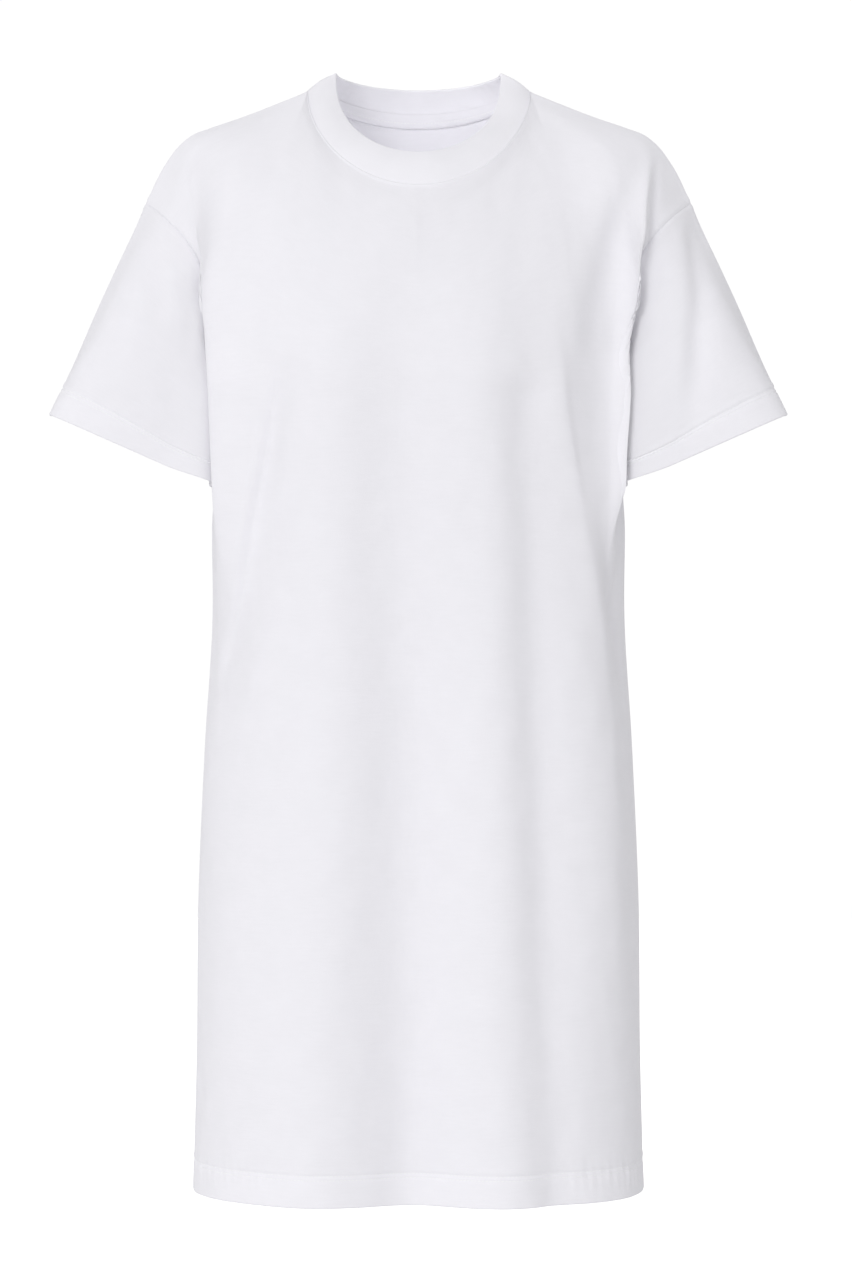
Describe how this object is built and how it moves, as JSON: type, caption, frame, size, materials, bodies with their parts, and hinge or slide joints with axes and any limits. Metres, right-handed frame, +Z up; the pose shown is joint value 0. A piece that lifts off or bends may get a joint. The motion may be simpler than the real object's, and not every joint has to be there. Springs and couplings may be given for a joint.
{
  "type": "t-shirt dress",
  "caption": "White jersey t-shirt dress in worn form: a hollow cloth shell with short dropped sleeves, ribbed neck band and straight hem.",
  "frame": {"origin": "midway between the two high shoulder points, where the neck seam meets the shoulder seams", "axes": "+Z up along the wearer, +Y to the wearer's back, -Y to the front, +X to the wearer's left"},
  "size_m": [0.602, 0.2498, 0.9144],
  "materials": {
    "jersey": "white cotton single jersey, matt with a soft nap",
    "rib": "white cotton one-by-one rib, matt",
    "tape": "white cotton neck tape, matt"
  },
  "bodies": {
    "root": {"front": "jersey", "back": "jersey", "sleeve_left": "jersey", "sleeve_right": "jersey", "neck_band": "rib", "neck_tape": "tape"}
  },
  "joints": []
}
